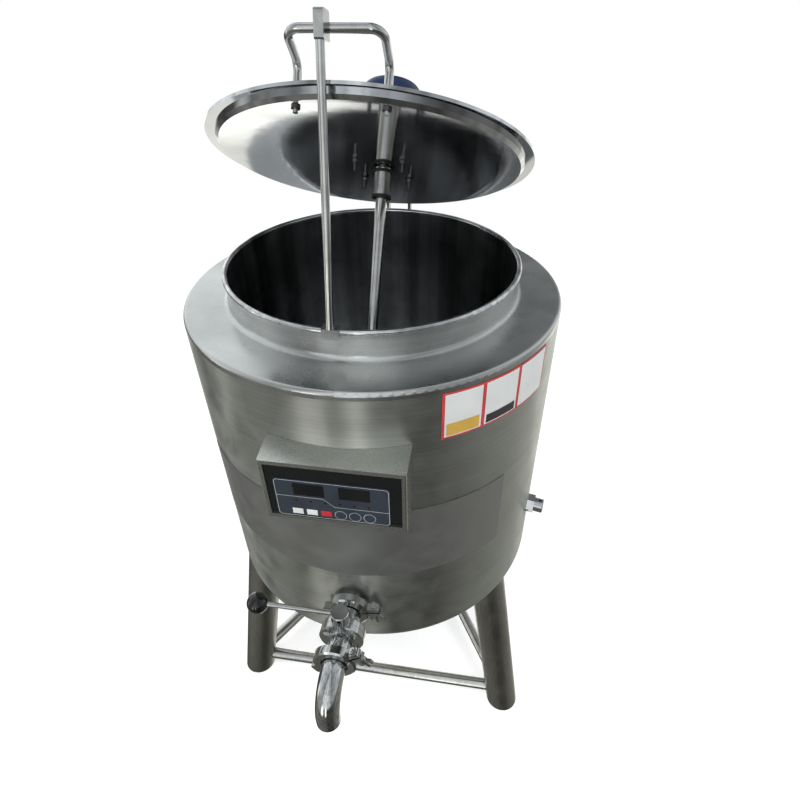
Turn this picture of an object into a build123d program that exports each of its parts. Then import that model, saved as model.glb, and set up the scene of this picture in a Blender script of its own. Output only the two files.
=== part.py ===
from build123d import *
from math import asin, atan2, cos, degrees, hypot, radians, sin, sqrt, tan
import os

# Small jacketed batch pasteurizer on three legs, in millimetres.
# The tank's axis is Z, the front is -Y, and the floor is Z = 0 while the pieces are built.
# The lid is built open, at the angle at which its prop holds it.

# Tank and its jackets
rim_top = 1000.0
tank_bore = 452.0
sheet = 2.0
rim_rod = 8.0
tank_corner = 22.0
neck_height = 46.0
neck_gap = 0.3
jacket_diameter = 600.0
shoulder_fall = 2.0
shoulder_corner = 6.0
shoulder_depth = 60.0
jacket_base = 425.0
water_rise = 7.0
water_floor = jacket_base + water_rise
heater_rise = 30.0
heater_z = water_floor + heater_rise
heater_clearance = 35.0
tank_floor = heater_z + heater_clearance
base_corner = 30.0
base_dish = 10.0
water_gap = 32.0
water_headroom = 70.0
water_top = rim_top - water_headroom
layer_gap = 0.5
weld_gap = 0.3

# Legs and braces
leg_count = 3
leg_diameter = 67.0
leg_sheet = 2.5
leg_circle = 683.0
leg_splay = 10.7
foot_plate = 6.0
foot_edge = 2.5
brace_diameter = 25.0
brace_height = 39.0

# Front of the machine: what is lined up with the outlet
front_offset = 6.0

# Control box
box_width = 199.0
box_front = 332.0
box_top = 856.0
box_rise = 8.5
box_height = 107.0
box_sheet = 1.5
bezel = 6.5
fascia_thickness = 3.0
panel_width = 159.0
panel_height = 70.0
panel_thickness = 1.2
panel_drop = 20.0
display_width = 42.5
display_height = 21.3
display_pitch = 63.0
display_rise = 18.5
key_pitch = 20.2
key_drop = 24.5
key_width = 15.0
key_height = 9.4
key_round = 14.6
key_proud = 1.0
key_length = 4.6
key_travel = 0.6
key_gap = 0.15
light_diameter = 3.2
light_drop = 3.4
board_thickness = 1.6
board_gap = 10.0
switch_size = 7.0
gland_thread = 16.0
gland_nut = 22.0
gland_length = 15.0
gland_nut_height = 8.0
gland_inside = 6.0
gland_wall = 1.5
gland_cable = 9.0

# Lid, hinge and handle
lid_open = 32.4
lid_sheet = 1.5
lid_hem = 4.0
lid_seat_gap = 0.3
plug_gap = 5.0
plug_diameter = tank_bore - 2 * plug_gap
flange_width = 13.7
lid_diameter = plug_diameter + 2 * flange_width
plug_depth = 8.3
plug_taper = 4.5
lid_crown = 22.0
hinge_back = 255.5
hinge_rise = 17.0
hinge_pin_diameter = 8.0
hinge_eye = 16.0
hinge_width = 46.0
hinge_cheek = 5.0
hinge_side_gap = 0.5
running_gap = 0.05
handle_rod = 10.0
handle_span = 105.8
handle_offset = 4.4
handle_foot_y = 201.7
handle_knee = 36.0
handle_bar_y = 247.3
handle_bar_z = 50.0
handle_bend = 15.0
handle_stud = 6.0

# Prop that holds the lid
prop_rod_diameter = 10.0
prop_offset = 11.5
prop_x = -7.0
prop_foot_y = 233.0
prop_head_width = 10.5
prop_head_height = 28.0
clip_width = 23.0
clip_sheet = 1.5
clip_skirt = 15.0
clip_back = 8.0

# Agitator drive
shaft_y = 79.0
shaft_diameter = 18.0
shaft_end = 535.0
stud_pitch = 75.0
stud_diameter = 6.0
motor_plate_edge = 11.5
motor_plate_size = stud_pitch + 2 * motor_plate_edge
motor_plate_thickness = 5.0
motor_plate_rise = 22.0
gearbox_edge = 7.5
gearbox_size = stud_pitch + 2 * gearbox_edge
gearbox_height = 40.0
gearbox_foot = 10.0
gearbox_waist = 14.0
shaft_socket = 18.0
motor_diameter = 94.0
motor_height = 54.0
motor_offset = 5.0
motor_cap_height = 26.0
sleeve_diameter = 29.0
sleeve_drop = 32.0
sleeve_wall = 3.0
seal_ring_diameter = 34.0
lip_seal_diameter = 32.0
seal_thickness = 4.0
impeller_diameter = 120.0
impeller_blades = 3
impeller_hub = 34.0
blade_height = 26.0
blade_thickness = 3.0
blade_pitch = 40.0

# Outlet valve, a 38 mm sanitary butterfly valve between two clamped ferrules
outlet_rise = 21.0
outlet_z = tank_floor + outlet_rise
outlet_offset = 3.0
pipe_diameter = 38.1
pipe_wall = 1.65
ferrule_diameter = 50.5
ferrule_thickness = 5.0
ferrule_gasket = 2.0
clamp_diameter = 68.0
rear_clamp_turn = 8.0
front_clamp_turn = 36.0
clamp_wall = 1.8
clamp_gap = 0.3
clamp_split = 3.0
clamp_ear = 18.0
rear_joint = 317.0
valve_length = 90.0
body_diameter = 72.0
body_half = 10.5
body_bolt_circle = 58.0
body_bolt = 6.0
seat_width = 14.0
seat_wall = 4.0
disc_thickness = 3.0
disc_gap = 0.4
stem_diameter = 9.0
boss_diameter = 28.0
boss_top = 38.0
boss_foot = 26.0
hub_diameter = 29.0
hub_top = 61.0
lever_rod = 8.0
lever_length = 118.0
lever_drop = 6.0
knob_diameter = 34.0
elbow_radius = 51.0
elbow_lead = 3.0
elbow_tail = 10.0

# Jacket port on the right
port_angle = 78.0
port_rise = 51.0
port_z = tank_floor + port_rise
port_nut = 31.0
port_nut_thickness = 13.0
port_plug = 27.0
port_plug_length = 30.0
port_cross_hole = 5.0

# Inside the water jacket
heater_rod = 12.0
heater_circle = 300.0

# What the driving sizes give
tank_r = tank_bore / 2
jacket_r = jacket_diameter / 2
rim_r = tank_r + sheet + rim_rod / 2 - 2.5
rim_z = rim_top - rim_rod / 2
shoulder_z = rim_top - neck_height
water_r = tank_r + sheet + water_gap
collar_r = tank_r + sheet + neck_gap
joint_gap = 0.3
port_plane = Plane(
    origin=(0, 0, port_z),
    x_dir=(cos(radians(port_angle)), sin(radians(port_angle)), 0),
    z_dir=(sin(radians(port_angle)), -cos(radians(port_angle)), 0),
)


def ring_section(points):
    """Face of a closed outline of (radius, height) points, on the section plane in use."""
    with BuildLine() as outline:
        Polyline(*points, close=True)
    make_face(outline.edges())


# Inner tank: a drawn pot with a rolled rim, and the outlet's hole low in its front
with BuildPart() as inner_tank:
    with BuildSketch(Plane.XZ):
        with BuildLine():
            wall = Polyline((tank_r + sheet, rim_z), (tank_r + sheet, tank_floor + tank_corner))
            corner = TangentArc(
                wall @ 1, (tank_r - tank_corner, tank_floor - sheet), tangent=wall % 1
            )
            Polyline(
                corner @ 1,
                (0, tank_floor - sheet),
                (0, tank_floor),
                (tank_r - tank_corner, tank_floor),
            )
            inside = TangentArc(
                (tank_r - tank_corner, tank_floor), (tank_r, tank_floor + tank_corner), tangent=(1, 0)
            )
            Polyline(inside @ 1, (tank_r, rim_z), (tank_r + sheet, rim_z))
        make_face()
    revolve(axis=Axis.Z)
    with BuildSketch(Plane.XZ):
        with Locations((rim_r, rim_z)):
            Circle(rim_rod / 2)
    revolve(axis=Axis.Z)
    with BuildSketch(Plane.XZ):
        with Locations((outlet_offset, outlet_z)):
            Circle(pipe_diameter / 2 + joint_gap)
    extrude(amount=jacket_r, mode=Mode.SUBTRACT)

# Water jacket: the vessel around the tank that holds the heating water
with BuildPart() as water_jacket:
    with BuildSketch(Plane.XZ):
        ring_section(
            [
                (0, water_floor - sheet),
                (water_r, water_floor - sheet),
                (water_r, water_top),
                (tank_r + sheet + weld_gap, water_top),
                (tank_r + sheet + weld_gap, water_top - sheet),
                (water_r - sheet, water_top - sheet),
                (water_r - sheet, water_floor),
                (0, water_floor),
            ]
        )
    revolve(axis=Axis.Z)
    with BuildSketch(Plane.XZ):
        with Locations((outlet_offset, outlet_z)):
            Circle(pipe_diameter / 2 + joint_gap)
    extrude(amount=jacket_r, mode=Mode.SUBTRACT)
    with BuildSketch(port_plane):
        Circle(port_plug / 2 + joint_gap)
    extrude(amount=jacket_r + sheet, mode=Mode.SUBTRACT)

# Insulation: a blanket between the water jacket and the outer skin
with BuildPart() as insulation:
    with BuildSketch(Plane.XZ):
        ring_section(
            [
                (0, jacket_base - base_corner + sheet + layer_gap),
                (jacket_r - base_corner, jacket_base - base_corner + sheet + layer_gap),
                (jacket_r - sheet - layer_gap, jacket_base),
                (jacket_r - sheet - layer_gap, water_top),
                (water_r + layer_gap, water_top),
                (water_r + layer_gap, water_floor - sheet - layer_gap),
                (0, water_floor - sheet - layer_gap),
            ]
        )
    revolve(axis=Axis.Z)
    with BuildSketch(Plane.XZ):
        with Locations((outlet_offset, outlet_z)):
            Circle(pipe_diameter / 2 + layer_gap)
    extrude(amount=jacket_r, mode=Mode.SUBTRACT)
    with BuildSketch(port_plane):
        Circle(port_plug / 2 + joint_gap)
    extrude(amount=jacket_r + sheet, mode=Mode.SUBTRACT)

# Outer jacket: the brushed skin, with holes for the outlet, the wiring and the port
with BuildPart() as outer_jacket:
    with BuildSketch(Plane.XY.offset(jacket_base)):
        Circle(jacket_r)
        Circle(jacket_r - sheet, mode=Mode.SUBTRACT)
    extrude(amount=rim_top - shoulder_depth - jacket_base)
    with BuildSketch(Plane.XZ):
        with Locations((outlet_offset, outlet_z)):
            Circle(pipe_diameter / 2 + joint_gap)
        with Locations((front_offset, box_top - box_height / 2)):
            Circle(gland_thread / 2)
    extrude(amount=jacket_r + sheet, mode=Mode.SUBTRACT)
    with BuildSketch(port_plane):
        Circle(port_plug / 2 + joint_gap)
    extrude(amount=jacket_r + sheet, mode=Mode.SUBTRACT)

# Shoulder ring: the sloping top of the jacket, its rounded corner and the neck
neck_root = 8.0
with BuildPart() as shoulder_ring:
    with BuildSketch(Plane.XZ):
        with BuildLine():
            skirt = Line(
                (jacket_r, rim_top - shoulder_depth),
                (jacket_r, shoulder_z - shoulder_fall - shoulder_corner),
            )
            edge = TangentArc(
                skirt @ 1,
                (jacket_r - shoulder_corner, shoulder_z - shoulder_fall),
                tangent=skirt % 1,
            )
            top = Line(edge @ 1, (collar_r + sheet + neck_root, shoulder_z))
            root = TangentArc(
                top @ 1, (collar_r + sheet, shoulder_z + neck_root), tangent=top % 1
            )
            neck = Polyline(
                root @ 1,
                (collar_r + sheet, rim_z - rim_rod / 2),
                (collar_r, rim_z - rim_rod / 2),
                (collar_r, shoulder_z + neck_root),
            )
            under = TangentArc(
                neck @ 1,
                (collar_r + sheet + neck_root, shoulder_z - sheet),
                tangent=neck % 1,
            )
            slope = Line(
                under @ 1, (jacket_r - shoulder_corner, shoulder_z - shoulder_fall - sheet)
            )
            inner_edge = TangentArc(
                slope @ 1,
                (jacket_r - sheet, shoulder_z - shoulder_fall - shoulder_corner),
                tangent=slope % 1,
            )
            Polyline(
                inner_edge @ 1,
                (jacket_r - sheet, rim_top - shoulder_depth),
                (jacket_r, rim_top - shoulder_depth),
            )
        make_face()
    revolve(axis=Axis.Z)

# Bottom shell: a dished base with a rounded corner
with BuildPart() as bottom_shell:
    with BuildSketch(Plane.XZ):
        with BuildLine():
            outer_corner = TangentArc(
                (jacket_r, jacket_base),
                (jacket_r - base_corner, jacket_base - base_corner),
                tangent=(0, -1),
            )
            dish = Line(outer_corner @ 1, (0, jacket_base - base_corner - base_dish))
            Line(dish @ 1, (0, jacket_base - base_corner - base_dish + sheet))
            Line(
                (0, jacket_base - base_corner - base_dish + sheet),
                (jacket_r - base_corner, jacket_base - base_corner + sheet),
            )
            inner_corner = TangentArc(
                (jacket_r - base_corner, jacket_base - base_corner + sheet),
                (jacket_r - sheet, jacket_base),
                tangent=(1, 0),
            )
            Line(inner_corner @ 1, (jacket_r, jacket_base))
        make_face()
    revolve(axis=Axis.Z)

# Heater element: a tube bent into an open ring in the water, with two tails down
with BuildPart() as heater_element:
    heater_r = heater_circle / 2
    tail_x = 40.0
    tail_bend = 20.0
    ring_end = (-tail_x, sqrt(heater_r**2 - tail_x**2), heater_z)
    with BuildLine() as heater_path:
        loop = ThreePointArc(
            (tail_x, sqrt(heater_r**2 - tail_x**2), heater_z), (0, -heater_r, heater_z), ring_end
        )
    with BuildSketch(Plane(origin=loop @ 0, z_dir=loop % 0)):
        Circle(heater_rod / 2)
    sweep(path=heater_path.wires()[0])
    with BuildSketch(Plane.XY.offset(water_floor + weld_gap)):
        with Locations((tail_x, (loop @ 0).Y), (-tail_x, (loop @ 0).Y)):
            Circle(heater_rod / 2)
    extrude(amount=heater_z - water_floor - weld_gap)

# Legs: three splayed tubes, cut flat at the foot and coped to the base
leg_angles = [-60.0, 60.0, 180.0]
leg_lean = tan(radians(leg_splay))


def leg_plane(angle):
    """Plane square to a leg's axis, at its foot's centre on the floor."""
    outward = Vector(sin(radians(angle)), -cos(radians(angle)), 0)
    rise = Vector(0, 0, 1) - outward * leg_lean
    return Plane(origin=outward * (leg_circle / 2), x_dir=outward.cross(rise), z_dir=rise)


def base_envelope():
    """Everything inside the jacket's base, with the weld's gap, to cope the legs to."""
    with BuildSketch(Plane.XZ) as envelope:
        with BuildLine():
            side = Line(
                (jacket_r + weld_gap, rim_top), (jacket_r + weld_gap, jacket_base)
            )
            turn = TangentArc(
                side @ 1,
                (jacket_r - base_corner, jacket_base - base_corner - weld_gap),
                tangent=side % 1,
            )
            Polyline(
                turn @ 1,
                (0, jacket_base - base_corner - base_dish - weld_gap),
                (0, rim_top),
                side @ 0,
            )
        make_face()
    revolve(envelope.sketch, axis=Axis.Z, mode=Mode.SUBTRACT)


def make_leg(angle):
    with BuildPart() as leg:
        with BuildSketch(leg_plane(angle).offset(-leg_diameter)):
            Circle(leg_diameter / 2)
            Circle(leg_diameter / 2 - leg_sheet, mode=Mode.SUBTRACT)
        extrude(amount=leg_diameter + jacket_base + leg_diameter)
        split(bisect_by=Plane.XY.offset(foot_plate), keep=Keep.TOP)
        base_envelope()
    return leg


leg_left, leg_right, leg_rear = [make_leg(angle) for angle in leg_angles]

# Foot plates: a solid plate closes each leg where it stands
with BuildPart() as foot_plates:
    for angle in leg_angles:
        with BuildSketch(leg_plane(angle).offset(-leg_diameter)):
            Circle(leg_diameter / 2)
        extrude(amount=2 * leg_diameter)
    split(bisect_by=Plane.XY.offset(foot_plate), keep=Keep.BOTTOM)
    split(bisect_by=Plane.XY, keep=Keep.TOP)
    chamfer(foot_plates.edges().group_by(Axis.Z)[0], foot_edge)

# Braces: three level tubes between the legs
brace_r = leg_circle / 2 - brace_height * leg_lean
brace_span = 2 * brace_r * sin(radians(180 / leg_count))


def make_brace(facing):
    with BuildPart() as brace:
        mid = brace_r * cos(radians(180 / leg_count))
        outward = Vector(sin(radians(facing)), -cos(radians(facing)), 0)
        along = Vector(cos(radians(facing)), sin(radians(facing)), 0)
        start = outward * mid - along * (brace_span / 2) + Vector(0, 0, brace_height)
        with BuildSketch(Plane(origin=start, x_dir=outward, z_dir=along)):
            Circle(brace_diameter / 2)
        extrude(amount=brace_span)
        for angle in leg_angles:
            with BuildSketch(leg_plane(angle)):
                Circle(leg_diameter / 2 + weld_gap)
            extrude(amount=2 * brace_height + leg_diameter, both=True, mode=Mode.SUBTRACT)
    return brace


brace_front, brace_right, brace_left = [make_brace(facing) for facing in (0.0, 120.0, 240.0)]

# Control box: a welded sheet housing whose back edges follow the jacket
box_bottom = box_top - box_height
box_back = jacket_r - 30.0
with BuildPart() as control_box:
    with BuildSketch(Plane.YZ.offset(front_offset - box_width / 2)):
        slope = box_rise / 48.0
        ring_section(
            [
                (-box_front, box_bottom),
                (-box_front, box_top),
                (-box_back, box_top + slope * (box_front - box_back)),
                (-box_back, box_bottom),
            ]
        )
    extrude(amount=box_width)
    fillet(control_box.edges().filter_by(Axis.Z).group_by(Axis.Y)[0], 2.5)
    with BuildSketch(Plane.YZ.offset(front_offset - box_width / 2 + box_sheet)):
        ring_section(
            [
                (-box_front + box_sheet, box_bottom + box_sheet),
                (-box_front + box_sheet, box_top - box_sheet),
                (-box_back, box_top + slope * (box_front - box_back) - box_sheet),
                (-box_back, box_bottom + box_sheet),
            ]
        )
    extrude(amount=box_width - 2 * box_sheet, mode=Mode.SUBTRACT)
    with BuildSketch(Plane.XZ.offset(box_back)):
        with Locations((front_offset, box_top - box_height / 2)):
            Rectangle(box_width - 2 * bezel, box_height - 2 * bezel)
    extrude(amount=box_front, mode=Mode.SUBTRACT)
    with BuildSketch(Plane.XY):
        Circle(jacket_r + weld_gap)
    extrude(amount=rim_top, mode=Mode.SUBTRACT)
    with BuildSketch(Plane.XY.offset(box_bottom)):
        with Locations((front_offset + box_width / 2 - gland_nut, -box_front + gland_nut)):
            Circle(gland_thread / 2 + joint_gap)
    extrude(amount=box_sheet, both=True, mode=Mode.SUBTRACT)

# Fascia plate: the black board behind the bezel, cut for the displays and the keys
fascia_y = box_front - box_sheet - 0.1
panel_z = box_top - bezel - panel_drop - panel_height / 2 - 3.5
key_places = [(i - 2.5) * key_pitch for i in range(6)]
panel_front = fascia_y + panel_thickness


def panel_plane(distance):
    """Upright plane in front of the tank's axis, centred on the control panel."""
    return Plane(
        origin=(front_offset - 3.0, -distance, panel_z), x_dir=(1, 0, 0), z_dir=(0, -1, 0)
    )


def key_sketch(index, grow):
    """Outline of one key: the first three are rectangles, the others are round."""
    with Locations((key_places[index], -key_drop)):
        if index < 3:
            Rectangle(key_width + 2 * grow, key_height + 2 * grow)
        else:
            Circle(key_round / 2 + grow)


def panel_openings():
    for index in range(6):
        key_sketch(index, key_gap)
    with Locations((-display_pitch / 2, display_rise), (display_pitch / 2, display_rise)):
        Rectangle(display_width + 2 * key_gap, display_height + 2 * key_gap)
    with Locations(*[(x, -light_drop) for x in key_places]):
        Circle(light_diameter / 2 + key_gap)


with BuildPart() as fascia_plate:
    with BuildSketch(Plane.XZ.offset(fascia_y - fascia_thickness)):
        with Locations((front_offset, box_top - box_height / 2)):
            Rectangle(box_width - 2 * box_sheet - 0.4, box_height - 2 * box_sheet - 0.4)
    extrude(amount=fascia_thickness)
    with BuildSketch(panel_plane(fascia_y - 2 * fascia_thickness)):
        panel_openings()
    extrude(amount=4 * fascia_thickness, mode=Mode.SUBTRACT)

# Control panel: the membrane sheet on the fascia, with windows for displays and keys
with BuildPart() as control_panel:
    with BuildSketch(panel_plane(fascia_y)):
        RectangleRounded(panel_width, panel_height, 4)
        with Locations((0, 0)):
            with BuildSketch(mode=Mode.PRIVATE) as windows:
                panel_openings()
        add(windows.sketch, mode=Mode.SUBTRACT)
    extrude(amount=panel_thickness)

# Displays: two dark windows with the digits' modules behind them
with BuildPart() as display_windows:
    with BuildSketch(panel_plane(fascia_y - fascia_thickness)):
        with Locations((-display_pitch / 2, display_rise), (display_pitch / 2, display_rise)):
            Rectangle(display_width, display_height)
    extrude(amount=fascia_thickness + panel_thickness + 0.4)

# Indicator lights above the keys
with BuildPart() as indicator_lights:
    with BuildSketch(panel_plane(fascia_y - fascia_thickness)):
        with Locations(*[(x, -light_drop) for x in key_places]):
            Circle(light_diameter / 2)
    extrude(amount=fascia_thickness + panel_thickness + 0.6)


# Keys: six caps that travel into the panel
def make_key(index):
    with BuildPart() as key:
        with BuildSketch(panel_plane(panel_front + key_proud - key_length)):
            key_sketch(index, 0)
        extrude(amount=key_length)
        chamfer(key.faces().sort_by(Axis.Y)[0].edges(), 0.3)
    return key


key_names = ["start_key", "stir_key", "stop_key", "set_key", "minus_key", "plus_key"]
keys = [make_key(index) for index in range(6)]

# Controller board: the circuit board on its spacers, with a switch behind each key
board_y = fascia_y - fascia_thickness - board_gap
key_back = panel_front + key_proud - key_length
with BuildPart() as controller_board:
    with BuildSketch(panel_plane(board_y - board_thickness)):
        Rectangle(panel_width, panel_height)
    extrude(amount=board_thickness)
    with BuildSketch(panel_plane(board_y)):
        with Locations(*[(x, -key_drop) for x in key_places]):
            Rectangle(switch_size, switch_size)
    extrude(amount=key_back - key_travel - 0.2 - board_y)
    with BuildSketch(panel_plane(board_y)):
        with GridLocations(panel_width - 10, panel_height - 10, 2, 2):
            Circle(3)
    extrude(amount=board_gap)

# Cable gland under the box
with BuildPart() as cable_gland:
    gland_at = (front_offset + box_width / 2 - gland_nut, -box_front + gland_nut)
    with BuildSketch(Plane.XY.offset(box_bottom - gland_length)):
        with Locations(gland_at):
            Circle(gland_thread / 2 + gland_wall)
    extrude(amount=gland_length - gland_nut_height)
    chamfer(cable_gland.edges().group_by(Axis.Z)[0], 2)
    with BuildSketch(Plane.XY.offset(box_bottom - gland_nut_height)):
        with Locations(gland_at):
            RegularPolygon(gland_nut / 2, 6, major_radius=False)
    extrude(amount=gland_nut_height - joint_gap)
    with BuildSketch(Plane.XY.offset(box_bottom - joint_gap)):
        with Locations(gland_at):
            Circle(gland_thread / 2)
    extrude(amount=gland_inside)
    with BuildSketch(Plane.XY.offset(box_bottom - gland_length)):
        with Locations(gland_at):
            Circle(gland_cable / 2)
    extrude(amount=gland_length + gland_inside + 3, mode=Mode.SUBTRACT)

# The lid's own frame: turned about the hinge from shut to open
opening = radians(lid_open)
hinge_z = rim_top + hinge_rise


def on_lid(x, y, z):
    """Where a point of the shut lid lies when the lid stands open."""
    dy, dz = y - hinge_back, z - hinge_z
    return Vector(
        x,
        hinge_back + dy * cos(opening) + dz * sin(opening),
        hinge_z - dy * sin(opening) + dz * cos(opening),
    )


lid_normal = Vector(0, sin(opening), cos(opening))
lid_right = Vector(1, 0, 0)


def lid_plane(x, y, height):
    """Plane parallel to the lid's rim, over a point of the shut lid, at a height over the rim."""
    return Plane(origin=on_lid(x, y, rim_top + height), x_dir=lid_right, z_dir=lid_normal)


def lid_section(x, y):
    """Upright section of the lid through a point: local x to the right, local y off the lid."""
    return Plane(
        origin=on_lid(x, y, rim_top), x_dir=lid_right, z_dir=lid_right.cross(lid_normal)
    )


def lid_axis(x, y):
    return Axis(on_lid(x, y, rim_top), lid_normal)


lid_r = lid_diameter / 2
plug_r = plug_diameter / 2
crown_r = plug_r - plug_taper
crown_edge = -plug_depth
crown_top = crown_edge + lid_crown


def lid_underside(radius):
    """Height of the crowned panel's underside over the rim, as a ball's cap."""
    ball = (crown_r**2 + lid_crown**2) / (2 * lid_crown)
    return crown_top - ball + sqrt(ball**2 - radius**2)


half = crown_r * 0.55
crown_points = [(0, crown_top), (half, lid_underside(half)), (crown_r, crown_edge)]
crown_slope = 2 * lid_crown / crown_r

# Lid: a pressed panel with a crowned middle, a plug that enters the neck and a hemmed flange
with BuildPart() as lid_shell:
    with BuildSketch(lid_section(0, 0)):
        with BuildLine():
            under = Spline(*crown_points, tangents=[(1, 0), (1, -crown_slope)])
            Polyline(
                under @ 1,
                (plug_r, crown_edge + plug_taper),
                (plug_r, lid_seat_gap),
                (lid_r, lid_seat_gap),
                (lid_r, lid_seat_gap + lid_hem),
                (lid_r - lid_hem, lid_seat_gap + lid_hem),
                (lid_r - lid_hem, lid_seat_gap + lid_sheet),
                (plug_r - lid_sheet, lid_seat_gap + lid_sheet),
                (plug_r - lid_sheet, crown_edge + plug_taper + lid_sheet / 2),
                (crown_r - lid_sheet / 2, crown_edge + lid_sheet),
            )
            Spline(
                (0, crown_top + lid_sheet),
                (half, lid_underside(half) + lid_sheet),
                (crown_r - lid_sheet / 2, crown_edge + lid_sheet),
                tangents=[(1, 0), (1, -crown_slope)],
            )
            Line((0, crown_top + lid_sheet), (0, crown_top))
        make_face()
    revolve(axis=lid_axis(0, 0))
    with BuildSketch(lid_plane(0, shaft_y, -plug_depth)):
        Circle(sleeve_diameter / 2 - sleeve_wall)
        with GridLocations(stud_pitch, stud_pitch, 2, 2):
            Circle(stud_diameter / 2 + joint_gap)
    extrude(amount=4 * lid_crown, mode=Mode.SUBTRACT)
    with BuildSketch(lid_plane(handle_offset, -handle_foot_y, -2 * plug_depth)):
        with GridLocations(handle_span, 1, 2, 1):
            Circle(handle_stud / 2 + joint_gap)
    extrude(amount=4 * lid_crown, mode=Mode.SUBTRACT)

# Handle: a bent rod on two feet at the lid's front, each foot bolted through the panel
foot_r = hypot(handle_span / 2, handle_foot_y)
foot_base = lid_underside(foot_r) + lid_sheet + 1.5
with BuildPart() as lid_handle:
    left, right = handle_offset - handle_span / 2, handle_offset + handle_span / 2
    route = [
        (left, -handle_foot_y, foot_base),
        (left, -handle_foot_y, handle_knee),
        (left, -handle_bar_y, handle_bar_z),
        (right, -handle_bar_y, handle_bar_z),
        (right, -handle_foot_y, handle_knee),
        (right, -handle_foot_y, foot_base),
    ]
    with BuildLine() as handle_path:
        FilletPolyline(*[on_lid(x, y, rim_top + z) for x, y, z in route], radius=handle_bend)
    with BuildSketch(lid_plane(left, -handle_foot_y, foot_base)):
        Circle(handle_rod / 2)
    sweep(path=handle_path.wires()[0])
    for x in (left, right):
        with BuildSketch(lid_plane(x, -handle_foot_y, foot_base - 14)):
            Circle(handle_stud / 2)
        extrude(amount=14)

# Hinge: a bracket behind the neck, a leaf on the lid, and the pin through both
eye_r = hinge_eye / 2
bracket_face = collar_r + sheet + weld_gap
bracket_top = rim_top - rim_rod - 1.0
cheek_y = lid_r + 0.6
with BuildPart() as hinge_bracket:
    with BuildSketch(Plane.XY.offset(shoulder_z + neck_root + 1)):
        with Locations((0, bracket_face + hinge_cheek / 2 - 1)):
            Rectangle(hinge_width, hinge_cheek + 2)
    extrude(amount=bracket_top - shoulder_z - neck_root - 1)
    for side in (-1, 1):
        inner = side * (hinge_width / 2 - hinge_cheek)
        with BuildSketch(Plane.YZ.offset(min(inner, side * hinge_width / 2))):
            with BuildLine():
                Polyline(
                    (bracket_face, shoulder_z + neck_root + 1),
                    (bracket_face + hinge_cheek, shoulder_z + neck_root + 1),
                    (hinge_back + eye_r, hinge_z),
                    (hinge_back - eye_r, hinge_z),
                    (cheek_y, hinge_z - eye_r),
                    (cheek_y, bracket_top),
                    (bracket_face, bracket_top),
                    close=True,
                )
            make_face()
            with Locations((hinge_back, hinge_z)):
                Circle(eye_r)
            with Locations((hinge_back, hinge_z)):
                Circle(hinge_pin_diameter / 2 + running_gap, mode=Mode.SUBTRACT)
        extrude(amount=hinge_cheek)
    with BuildSketch(Plane.XY.offset(shoulder_z)):
        Circle(bracket_face)
    extrude(amount=bracket_top - shoulder_z, mode=Mode.SUBTRACT)

leaf_width = hinge_width - 2 * hinge_cheek - 2 * hinge_side_gap
leaf_reach = 152.0
leaf_thickness = 4.0
leaf_base = lid_seat_gap + lid_hem + 0.3
leaf_side = Plane(
    origin=on_lid(-leaf_width / 2, 0, rim_top), x_dir=lid_right.cross(lid_normal) * -1, z_dir=lid_right
)
with BuildPart() as hinge_leaf:
    with BuildSketch(leaf_side):
        with BuildLine():
            Polyline(
                (leaf_reach, leaf_base),
                (hinge_back - eye_r + 1, leaf_base),
                (hinge_back, hinge_rise - eye_r + 1),
                (hinge_back, hinge_rise),
                (hinge_back - eye_r, hinge_rise),
                (hinge_back - eye_r - 6, leaf_base + leaf_thickness),
                (leaf_reach, leaf_base + leaf_thickness),
                close=True,
            )
        make_face()
        with Locations((hinge_back, hinge_rise)):
            Circle(eye_r)
            Circle(hinge_pin_diameter / 2 + running_gap, mode=Mode.SUBTRACT)
    extrude(amount=leaf_width)

with BuildPart() as hinge_pin:
    with BuildSketch(Plane.YZ.offset(-hinge_width / 2 - 3)):
        with Locations((hinge_back, hinge_z)):
            Circle(hinge_pin_diameter / 2)
    extrude(amount=hinge_width + 6)

# Prop: a rod hung on the handle's bar, whose foot stands on the rim
bar_centre = on_lid(0, -handle_bar_y, rim_top + handle_bar_z)
foot_height = rim_top + joint_gap + clip_sheet
foot_dy, foot_dz = -prop_foot_y - bar_centre.Y, foot_height - bar_centre.Z
prop_reach = sqrt(foot_dy**2 + foot_dz**2 - prop_offset**2)
prop_lean = atan2(-foot_dy, -foot_dz) - asin(prop_offset / hypot(foot_dy, foot_dz))
prop_down = Vector(0, -sin(prop_lean), -cos(prop_lean))
prop_out = Vector(0, -cos(prop_lean), sin(prop_lean))


def on_prop(x, out, down):
    """Point given from the bar's centre: out from the rod's side, down along the rod."""
    return Vector(x, bar_centre.Y, bar_centre.Z) + prop_out * out + prop_down * down


head_top = 16.0
with BuildPart() as prop_head:
    head_plane = Plane(
        origin=on_prop(prop_x - prop_head_width / 2, 0, 0), x_dir=prop_out, z_dir=(1, 0, 0)
    )
    with BuildSketch(head_plane):
        head_back = handle_rod / 2 + 2.0
        head_front = prop_offset + prop_rod_diameter / 2
        with Locations(((head_front - head_back) / 2, prop_head_height / 2 - head_top)):
            RectangleRounded(head_front + head_back, prop_head_height, 3)
        Circle(handle_rod / 2 + running_gap, mode=Mode.SUBTRACT)
    extrude(amount=prop_head_width)

with BuildPart() as prop_rod:
    with BuildSketch(
        Plane(
            origin=on_prop(prop_x, prop_offset, prop_head_height - head_top + 0.1),
            x_dir=(1, 0, 0),
            z_dir=prop_down,
        )
    ):
        Circle(prop_rod_diameter / 2)
    extrude(amount=prop_reach - prop_head_height + head_top)
    split(bisect_by=Plane.XY.offset(foot_height + 0.1), keep=Keep.TOP)

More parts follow.
